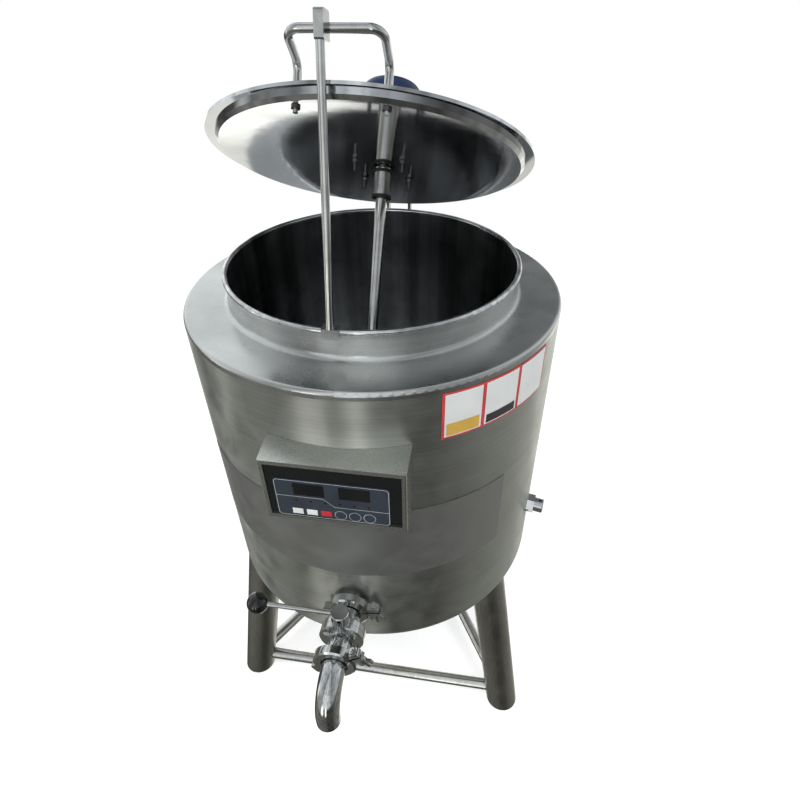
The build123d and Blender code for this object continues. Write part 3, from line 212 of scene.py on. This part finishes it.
glare = mix(nodes, links, "MULTIPLY", 1.0, lamp_row.outputs[0], lamp_height.outputs[0])
glare = mix(nodes, links, "MULTIPLY", 1.0, glare, glare_colour)
room = mix(nodes, links, "ADD", 1.0, room, glare)
lit = nodes.new("ShaderNodeBackground")
lit.inputs["Strength"].default_value = room_strength
links.new(room, lit.inputs["Color"])
white = nodes.new("ShaderNodeBackground")
white.inputs["Color"].default_value = (1, 1, 1, 1)
ray = nodes.new("ShaderNodeLightPath")
swap = nodes.new("ShaderNodeMixShader")
links.new(ray.outputs["Is Camera Ray"], swap.inputs[0])
links.new(lit.outputs[0], swap.inputs[1])
links.new(white.outputs[0], swap.inputs[2])
world_out = nodes.new("ShaderNodeOutputWorld")
links.new(swap.outputs[0], world_out.inputs["Surface"])


# Lamps: three soft ones over the machine. They light paint, paper and plastic, and leave no
# hard spots in the steel, which shows the workshop instead.
machine_middle = Vector((0, 0, 0.8))


def lamp(name, at, size, power, colour):
    """Square lamp that points at the middle of the machine; steel and camera don't see it."""
    data = bpy.data.lights.new(name, "AREA")
    data.size = size
    data.energy = power
    data.color = colour
    obj = bpy.data.objects.new(name, data)
    bpy.context.scene.collection.objects.link(obj)
    obj.location = at
    aim = machine_middle - Vector(at)
    obj.rotation_euler = aim.to_track_quat("-Z", "Y").to_euler()
    obj.visible_camera = False
    obj.visible_glossy = False


lamp("lamp_left", at=(-2.4, -1.2, 2.6), size=1.2, power=30, colour=(0.94, 0.97, 1.0))
lamp("lamp_right", at=(2.4, -0.8, 2.4), size=1.0, power=22, colour=(0.97, 0.98, 1.0))
lamp("lamp_top", at=(0.2, -1.2, 3.4), size=1.4, power=36, colour=(1.0, 0.99, 0.96))

# Floor: pale and plain, with the machine's soft shadow. The steel doesn't show it, as it shows
# the workshop, and from below it is clear.
floor_size = 3.0
floor_colour = (0.80, 0.80, 0.79, 1)
floor_glow = 0.52
shape = bmesh.new()
bmesh.ops.create_grid(shape, x_segments=1, y_segments=1, size=floor_size)
floor_mesh = bpy.data.meshes.new("floor")
shape.to_mesh(floor_mesh)
shape.free()
floor = bpy.data.objects.new("floor", floor_mesh)
bpy.context.scene.collection.objects.link(floor)
floor.visible_glossy = False
pale = bpy.data.materials.new("floor_pale")
pale.use_nodes = True
nodes, links = pale.node_tree.nodes, pale.node_tree.links
nodes.clear()
matt = nodes.new("ShaderNodeBsdfDiffuse")
matt.inputs["Color"].default_value = floor_colour
glow = nodes.new("ShaderNodeEmission")
ray = nodes.new("ShaderNodeLightPath")
glow_level = nodes.new("ShaderNodeMath")
glow_level.operation = "MULTIPLY"
glow_level.inputs[1].default_value = floor_glow
links.new(ray.outputs["Is Camera Ray"], glow_level.inputs[0])
links.new(glow_level.outputs[0], glow.inputs["Strength"])
both = nodes.new("ShaderNodeAddShader")
links.new(matt.outputs[0], both.inputs[0])
links.new(glow.outputs[0], both.inputs[1])
side = nodes.new("ShaderNodeNewGeometry")
clear = nodes.new("ShaderNodeBsdfTransparent")
one_sided = nodes.new("ShaderNodeMixShader")
links.new(side.outputs["Backfacing"], one_sided.inputs[0])
links.new(both.outputs[0], one_sided.inputs[1])
links.new(clear.outputs[0], one_sided.inputs[2])
floor_out = nodes.new("ShaderNodeOutputMaterial")
links.new(one_sided.outputs[0], floor_out.inputs["Surface"])
floor_mesh.materials.append(pale)


# Tank: a drawn stainless pot with a rolled rim, inside its water jacket. It is polished, and
# upright dark streaks painted into its colour are painted reflections, which also darken the wall.
def new_material(name):
    """Material with one shader; its nodes, links and shader are given back with it."""
    made = bpy.data.materials.new(name)
    made.use_nodes = True
    tree = made.node_tree
    tree.nodes.clear()
    out = tree.nodes.new("ShaderNodeOutputMaterial")
    shader = tree.nodes.new("ShaderNodeBsdfPrincipled")
    tree.links.new(shader.outputs[0], out.inputs[0])
    return made, tree.nodes, tree.links, shader


def noise(nodes, links, vector, scale, detail, distortion=0.0):
    """Noise texture's grey output."""
    node = nodes.new("ShaderNodeTexNoise")
    node.inputs["Scale"].default_value = scale
    node.inputs["Detail"].default_value = detail
    node.inputs["Distortion"].default_value = distortion
    links.new(vector, node.inputs["Vector"])
    return node.outputs["Fac"]


def vary(nodes, links, fac, socket, low, high):
    """Drive a socket with a number that follows a noise between two values."""
    spread = nodes.new("ShaderNodeMapRange")
    spread.inputs["From Min"].default_value = 0.3
    spread.inputs["From Max"].default_value = 0.7
    spread.inputs["To Min"].default_value = low
    spread.inputs["To Max"].default_value = high
    links.new(fac, spread.inputs["Value"])
    links.new(spread.outputs[0], socket)


relief_depth = 0.001


def relief(nodes, links, fac, shader, strength):
    """Fine relief from a texture, at most relief_depth high."""
    bump = nodes.new("ShaderNodeBump")
    bump.inputs["Strength"].default_value = strength
    bump.inputs["Distance"].default_value = relief_depth
    links.new(fac, bump.inputs["Height"])
    links.new(bump.outputs[0], shader.inputs["Normal"])


patch_scale, print_scale, smudge_detail = 5.0, 22.0, 5.0
quarter_turn = 0.25


def steel(name, tone, rough, grain, brushed=0.0, smudge=0.10, bump=0.02, streak=0.8):
    """Stainless steel with wide patches, hand prints and fine lines. grain is the lines' scale
    along X, Y and Z, and streak the shade of the darkest of them. brushed above zero means
    lines round the Z axis, which draw each reflection out upwards."""
    made, nodes, links, shader = new_material(name)
    shader.inputs["Metallic"].default_value = 1.0
    place = nodes.new("ShaderNodeTexCoord").outputs["Object"]
    if brushed:
        shader.inputs["Anisotropic"].default_value = brushed
        shader.inputs["Anisotropic Rotation"].default_value = quarter_turn
        tangent = nodes.new("ShaderNodeTangent")
        tangent.direction_type = "RADIAL"
        tangent.axis = "Z"
        links.new(tangent.outputs[0], shader.inputs["Tangent"])
    patches = noise(nodes, links, place, patch_scale, smudge_detail, distortion=0.3)
    prints = noise(nodes, links, place, print_scale, smudge_detail, distortion=0.4)
    stretch = nodes.new("ShaderNodeMapping")
    stretch.inputs["Scale"].default_value = grain
    links.new(place, stretch.inputs["Vector"])
    lines = noise(nodes, links, stretch.outputs[0], scale=1.0, detail=3.0)
    dark = tuple(part * (1 - smudge) for part in tone)
    light = tuple(min(1.0, part * (1 + smudge)) for part in tone)
    patch_tone = ramp(nodes, [(0.34, dark), (0.66, light)])
    links.new(patches, patch_tone.inputs[0])
    print_tone = ramp(nodes, [(0.30, 1.0 - smudge / 2), (0.60, 1.0)])
    links.new(prints, print_tone.inputs[0])
    colour = mix(nodes, links, "MULTIPLY", 1.0, patch_tone.outputs[0], print_tone.outputs[0])
    line_tone = ramp(nodes, [(0.32, streak), (0.68, 1.0)])
    links.new(lines, line_tone.inputs[0])
    colour = mix(nodes, links, "MULTIPLY", 1.0, colour, line_tone.outputs[0])
    links.new(colour, shader.inputs["Base Color"])
    vary(nodes, links, prints, shader.inputs["Roughness"], rough * 0.85, rough * 1.25)
    relief(nodes, links, lines, shader, bump)
    return made


def paint(stuff, *names):
    """Give the named pieces one finish."""
    for name in names:
        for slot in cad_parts[name].material_slots:
            slot.material = stuff


tank_steel = steel(
    "tank_steel",
    tone=(0.84, 0.85, 0.86),
    rough=0.18,
    grain=(34, 34, 0.5),
    brushed=0.40,
    smudge=0.04,
    bump=0.20,
    # Painted reflection: streak darkens the colour in upright bands, down to 0.40 of the tone, standing
    # in for the streaked reflections in the polished wall.
    streak=0.40,
)
paint(tank_steel, "inner_tank", "water_jacket", "heater_element")

# Jacket: rolled sheet with a dished bottom, brushed round the tank, so that what it reflects is
# drawn out into upright bands.
jacket_steel = steel(
    "jacket_steel",
    tone=(0.56, 0.57, 0.53),
    rough=0.33,
    grain=(3, 3, 420),
    brushed=0.95,
    smudge=0.05,
    bump=0.05,
    streak=0.84,
)
paint(jacket_steel, "outer_jacket", "bottom_shell")


# Insulation: stiff yellow foam, poured as a liquid between the water jacket and the outer jacket,
# where it swells, sets and sticks. It is hidden all round.
def solid_stuff(name, colour, rough, metallic=0.0, coat=0.0, grain=500.0, bump=0.02, change=0.10):
    """Foam, paint, plastic, rubber, paper or dull metal, with a fine texture and slightly
    uneven colour. grain is the texture's scale and change the colour's spread."""
    made, nodes, links, shader = new_material(name)
    shader.inputs["Metallic"].default_value = metallic
    shader.inputs["Coat Weight"].default_value = coat
    shader.inputs["Coat Roughness"].default_value = 0.08
    place = nodes.new("ShaderNodeTexCoord").outputs["Object"]
    uneven = noise(nodes, links, place, scale=30.0, detail=4.0, distortion=0.5)
    fine = noise(nodes, links, place, grain, detail=2.0)
    dark = tuple(part * (1 - change) for part in colour)
    light = tuple(min(1.0, part * (1 + change)) for part in colour)
    tone = ramp(nodes, [(0.35, dark), (0.65, light)])
    links.new(uneven, tone.inputs[0])
    links.new(tone.outputs[0], shader.inputs["Base Color"])
    vary(nodes, links, uneven, shader.inputs["Roughness"], rough * 0.85, rough * 1.15)
    relief(nodes, links, fine, shader, bump)
    return made


foam = solid_stuff("insulation_foam", (0.80, 0.74, 0.50), rough=0.8, grain=250.0, bump=0.3)
paint(foam, "insulation")

# Shoulder and neck: one pressed ring, ground smooth at its welds and rubbed by hand, so it is
# duller and more blotched than the jacket.
shoulder_steel = steel(
    "shoulder_steel",
    tone=(0.63, 0.64, 0.63),
    rough=0.27,
    grain=(5, 5, 380),
    brushed=0.45,
    smudge=0.16,
    bump=0.04,
    streak=0.86,
)
paint(shoulder_steel, "shoulder_ring")

# Legs: three splayed tubes of satin steel, each with a foot plate, tied by thinner braces
# that are welded on and polished.
leg_steel = steel("leg_steel", tone=(0.46, 0.45, 0.41), rough=0.34, grain=(260, 260, 7), bump=0.03)
paint(leg_steel, "leg_left", "leg_right", "leg_rear", "foot_plates")
brace_steel = steel("brace_steel", tone=(0.66, 0.66, 0.64), rough=0.20, grain=(90, 90, 90))
paint(brace_steel, "brace_front", "brace_right", "brace_left")

# Control box: a folded and welded steel housing, scratched all ways by a sanding disc, round a
# black fascia plate. The gland under it is plastic.
box_steel = steel(
    "box_steel",
    tone=(0.70, 0.71, 0.67),
    rough=0.25,
    grain=(650, 650, 650),
    smudge=0.06,
    bump=0.10,
    streak=0.70,
)
paint(box_steel, "control_box")
paint(solid_stuff("fascia_black", (0.005, 0.006, 0.007), rough=0.28), "fascia_plate")
paint(solid_stuff("gland_black", (0.02, 0.02, 0.02), rough=0.45), "cable_gland")
paint(solid_stuff("board_green", (0.02, 0.14, 0.05), rough=0.4), "controller_board")

# Panel: a printed membrane over the fascia, with two dark windows, small lights, three square
# keys and three round ones of its own colour.
panel_sheet = solid_stuff(
    "panel_sheet", (0.028, 0.037, 0.052), rough=0.34, coat=0.15, grain=900.0, bump=0.05
)
paint(panel_sheet, "control_panel", "set_key", "minus_key", "plus_key")
display_glass = solid_stuff("display_glass", (0.003, 0.003, 0.004), rough=0.10, coat=0.5)
paint(display_glass, "display_windows")
light_lens = solid_stuff("light_lens", (0.035, 0.006, 0.006), rough=0.20, coat=0.4)
paint(light_lens, "indicator_lights")
paint(solid_stuff("key_white", (0.74, 0.74, 0.72), rough=0.42), "start_key", "stir_key")
paint(solid_stuff("key_red", (0.50, 0.018, 0.030), rough=0.42), "stop_key")
print_pale = solid_stuff("print_pale", (0.42, 0.44, 0.46), rough=0.45)
panel_low, panel_high = (Vector(corner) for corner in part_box("control_panel"))
print_lift = 0.00025
print_y = panel_low.y - print_lift


def printed_line(name, points, width, closed=False):
    """Flat printed line through (x, z) points on the panel's face."""
    shape = bmesh.new()
    count = len(points)
    rows = []
    for i, (x, z) in enumerate(points):
        before = points[i - 1] if closed or i else points[0]
        after = points[(i + 1) % count] if closed or i + 1 < count else points[-1]
        run = Vector((after[0] - before[0], after[1] - before[1])).normalized()
        across = Vector((-run.y, run.x)) * width / 2
        rows.append(
            [
                shape.verts.new((x + across.x, print_y, z + across.y)),
                shape.verts.new((x - across.x, print_y, z - across.y)),
            ]
        )
    pairs = list(zip(rows, rows[1:] + rows[:1])) if closed else list(zip(rows, rows[1:]))
    for a, b in pairs:
        shape.faces.new((a[0], a[1], b[1], b[0]))
    bmesh.ops.recalc_face_normals(shape, faces=shape.faces)
    mesh = bpy.data.meshes.new(name)
    shape.to_mesh(mesh)
    shape.free()
    obj = bpy.data.objects.new(name, mesh)
    bpy.context.scene.collection.objects.link(obj)
    mesh.materials.append(print_pale)
    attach(obj, "machine")


def arc_points(x, z, radius, first, last, steps):
    """Points on an arc about (x, z), between two angles in degrees."""
    angles = [radians(first + (last - first) * i / steps) for i in range(steps + 1)]
    return [(x + radius * cos(angle), z + radius * sin(angle)) for angle in angles]


line_width = 0.0008
frame_inset = 0.0012
frame_corner = 0.005
corner_steps, ring_steps = 6, 36
ring_gap = 0.0009
divider_left, divider_right = 0.44, 0.64
slope_start, slope_end = 0.42, 0.52
left, right = panel_low.x + frame_inset, panel_high.x - frame_inset
bottom, top = panel_low.z + frame_inset, panel_high.z - frame_inset
outline = []
for x, z, first in (
    (right - frame_corner, top - frame_corner, 0),
    (left + frame_corner, top - frame_corner, 90),
    (left + frame_corner, bottom + frame_corner, 180),
    (right - frame_corner, bottom + frame_corner, 270),
):
    outline += arc_points(x, z, frame_corner, first, first + 90, corner_steps)
printed_line("panel_outline", outline, line_width, closed=True)
frame_width, frame_height = right - left, top - bottom
divider = [
    (left, top - divider_left * frame_height),
    (left + slope_start * frame_width, top - divider_left * frame_height),
    (left + slope_end * frame_width, top - divider_right * frame_height),
    (right, top - divider_right * frame_height),
]
printed_line("panel_divider", divider, line_width)
for key in ("set_key", "minus_key", "plus_key"):
    key_low, key_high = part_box(key)
    key_x, key_z = (key_low[0] + key_high[0]) / 2, (key_low[2] + key_high[2]) / 2
    ring_r = (key_high[0] - key_low[0]) / 2 + ring_gap
    last_angle = 360 - 360 / ring_steps
    ring = arc_points(key_x, key_z, ring_r, 0, last_angle, ring_steps - 1)
    printed_line(f"{key}_ring", ring, line_width, closed=True)


# Film and labels: a strip of matt film across the jacket's front, left bare, and three paper
# labels with red borders near the shoulder on the right, left blank but for their colours.
patch_step, fewest_steps = 1.5, 8


def skin_patch(name, left, right, low, high, lift, stuff):
    """Thin sheet on the jacket between two angles right of front, in degrees."""
    shape = bmesh.new()
    steps = max(fewest_steps, int((right - left) / patch_step))
    radius = skin_r + lift
    rows = []
    for i in range(steps + 1):
        angle = radians(left + (right - left) * i / steps)
        x, y = axis_x + radius * sin(angle), axis_y - radius * cos(angle)
        rows.append([shape.verts.new((x, y, z)) for z in (low, high)])
    for a, b in zip(rows, rows[1:]):
        shape.faces.new((a[0], b[0], b[1], a[1]))
    mesh = bpy.data.meshes.new(name)
    shape.to_mesh(mesh)
    shape.free()
    for face in mesh.polygons:
        face.use_smooth = True
    obj = bpy.data.objects.new(name, mesh)
    bpy.context.scene.collection.objects.link(obj)
    mesh.materials.append(stuff)
    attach(obj, "machine")


film_lift, label_lift, paper_step = 0.0006, 0.0006, 0.0004
film_left, film_right = -55.0, 51.5
film_low, film_high = 0.589, 0.7375
film_matt = solid_stuff(
    "film_matt", (0.36, 0.365, 0.35), rough=0.44, metallic=0.85, grain=700.0, bump=0.05, change=0.03
)
skin_patch("front_film", film_left, film_right, film_low, film_high, film_lift, film_matt)
label_red = solid_stuff("label_red", (0.56, 0.045, 0.045), rough=0.4)
label_pale = solid_stuff("label_pale", (0.66, 0.67, 0.66), rough=0.4, change=0.03)
label_amber = solid_stuff("label_amber", (0.60, 0.36, 0.06), rough=0.4, change=0.04)
label_dark = solid_stuff("label_dark", (0.03, 0.03, 0.03), rough=0.4)
label_left, label_right = 28.0, 66.0
label_low, label_high = 0.863, 0.939
skin_patch("label_back", label_left, label_right, label_low, label_high, label_lift, label_red)
paper_spans = ((28.8, 39.5), (40.6, 52.0), (53.1, 65.2))
paper_low, paper_high = 0.866, 0.936
paper_lift = label_lift + paper_step
for index, (left, right) in enumerate(paper_spans):
    skin_patch(f"label_paper_{index}", left, right, paper_low, paper_high, paper_lift, label_pale)
band_low, amber_high, dark_high = 0.868, 0.888, 0.882
band_inset = 0.6
band_lift = paper_lift + paper_step
left, right = paper_spans[0][0] + band_inset, paper_spans[0][1] - band_inset
skin_patch("label_band_amber", left, right, band_low, amber_high, band_lift, label_amber)
left, right = paper_spans[1][0] + band_inset, paper_spans[1][1] - band_inset
skin_patch("label_band_dark", left, right, band_low, dark_high, band_lift, label_dark)

# Lid: a dished sheet with a rolled flange, polished to a mirror inside. Its nuts and studs are
# blackened. The hinge is plain steel: a bracket behind the neck, a leaf on the lid, and a pin.
lid_steel = steel(
    "lid_steel",
    tone=(0.61, 0.62, 0.64),
    rough=0.08,
    grain=(10, 10, 10),
    smudge=0.05,
    bump=0.004,
    streak=0.92,
)
paint(lid_steel, "lid_shell")
black_steel = solid_stuff("black_steel", (0.10, 0.10, 0.105), rough=0.20, metallic=1.0)
paint(black_steel, "lid_fasteners")
hinge_steel = steel(
    "hinge_steel", tone=(0.44, 0.45, 0.44), rough=0.26, grain=(120, 120, 120), smudge=0.12
)
paint(hinge_steel, "hinge_bracket", "hinge_leaf", "hinge_pin")

# Rods: the lid's bent handle, the prop that hangs from it, the agitator's shaft and the valve's
# lever, all polished bar. The prop's head is plain steel, and its foot clip is bent sheet.
rod_steel = steel(
    "rod_steel", tone=(0.60, 0.60, 0.59), rough=0.12, grain=(50, 50, 50), smudge=0.08, bump=0.01
)
paint(rod_steel, "lid_handle", "prop_rod", "agitator_shaft", "valve_lever")
paint(hinge_steel, "prop_head")
clip_steel = steel("clip_steel", tone=(0.62, 0.64, 0.63), rough=0.30, grain=(300, 300, 300), bump=0.04)
paint(clip_steel, "prop_clip")

# Drive: a navy motor and gearbox on the lid's plate, over a polished sleeve with rubber seals,
# and a welded impeller at the shaft's end.
motor_paint = solid_stuff(
    "motor_paint", (0.003, 0.014, 0.055), rough=0.38, coat=0.10, grain=350.0, bump=0.15
)
paint(motor_paint, "motor_body", "motor_cap", "gearbox")
paint(hinge_steel, "motor_plate")
sleeve_steel = steel(
    "sleeve_steel", tone=(0.50, 0.50, 0.48), rough=0.20, grain=(90, 90, 90), smudge=0.12
)
paint(sleeve_steel, "seal_sleeve", "impeller")
seal_rubber = solid_stuff("seal_rubber", (0.014, 0.014, 0.014), rough=0.55)
paint(seal_rubber, "sleeve_seals")

# Outlet: sanitary fittings of cast steel, mirror polished, held by two clamps with wing nuts,
# and a lever with a glossy black ball. Its gaskets and seat are rubber, and the jacket's port
# on the right is the same metal.
fitting_steel = steel(
    "fitting_steel",
    tone=(0.60, 0.61, 0.61),
    rough=0.08,
    grain=(140, 140, 140),
    smudge=0.06,
    bump=0.03,
    streak=0.9,
)
fittings = [
    "outlet_spud",
    "valve_body",
    "stem_boss",
    "valve_disc",
    "valve_hub",
    "body_bolts",
    "outlet_elbow",
    "rear_clamp",
    "front_clamp",
    "clamp_wing_nuts",
    "port_nut_ring",
    "port_cap",
]
paint(fitting_steel, *fittings)
paint(seal_rubber, "valve_gaskets", "valve_seat")
knob_black = solid_stuff("knob_black", (0.004, 0.004, 0.004), rough=0.10, coat=0.3, bump=0.0)
paint(knob_black, "lever_knob")

# Every piece: rolled, turned and cast faces are shaded smooth, and folds, cut edges and corners
# stay crisp.
crisp_angle = radians(28)
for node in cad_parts.values():
    for face in node.data.polygons:
        face.use_smooth = True
    corners = node.modifiers.new("corners", "EDGE_SPLIT")
    corners.split_angle = crisp_angle
    even = node.modifiers.new("even", "WEIGHTED_NORMAL")
    even.keep_sharp = True
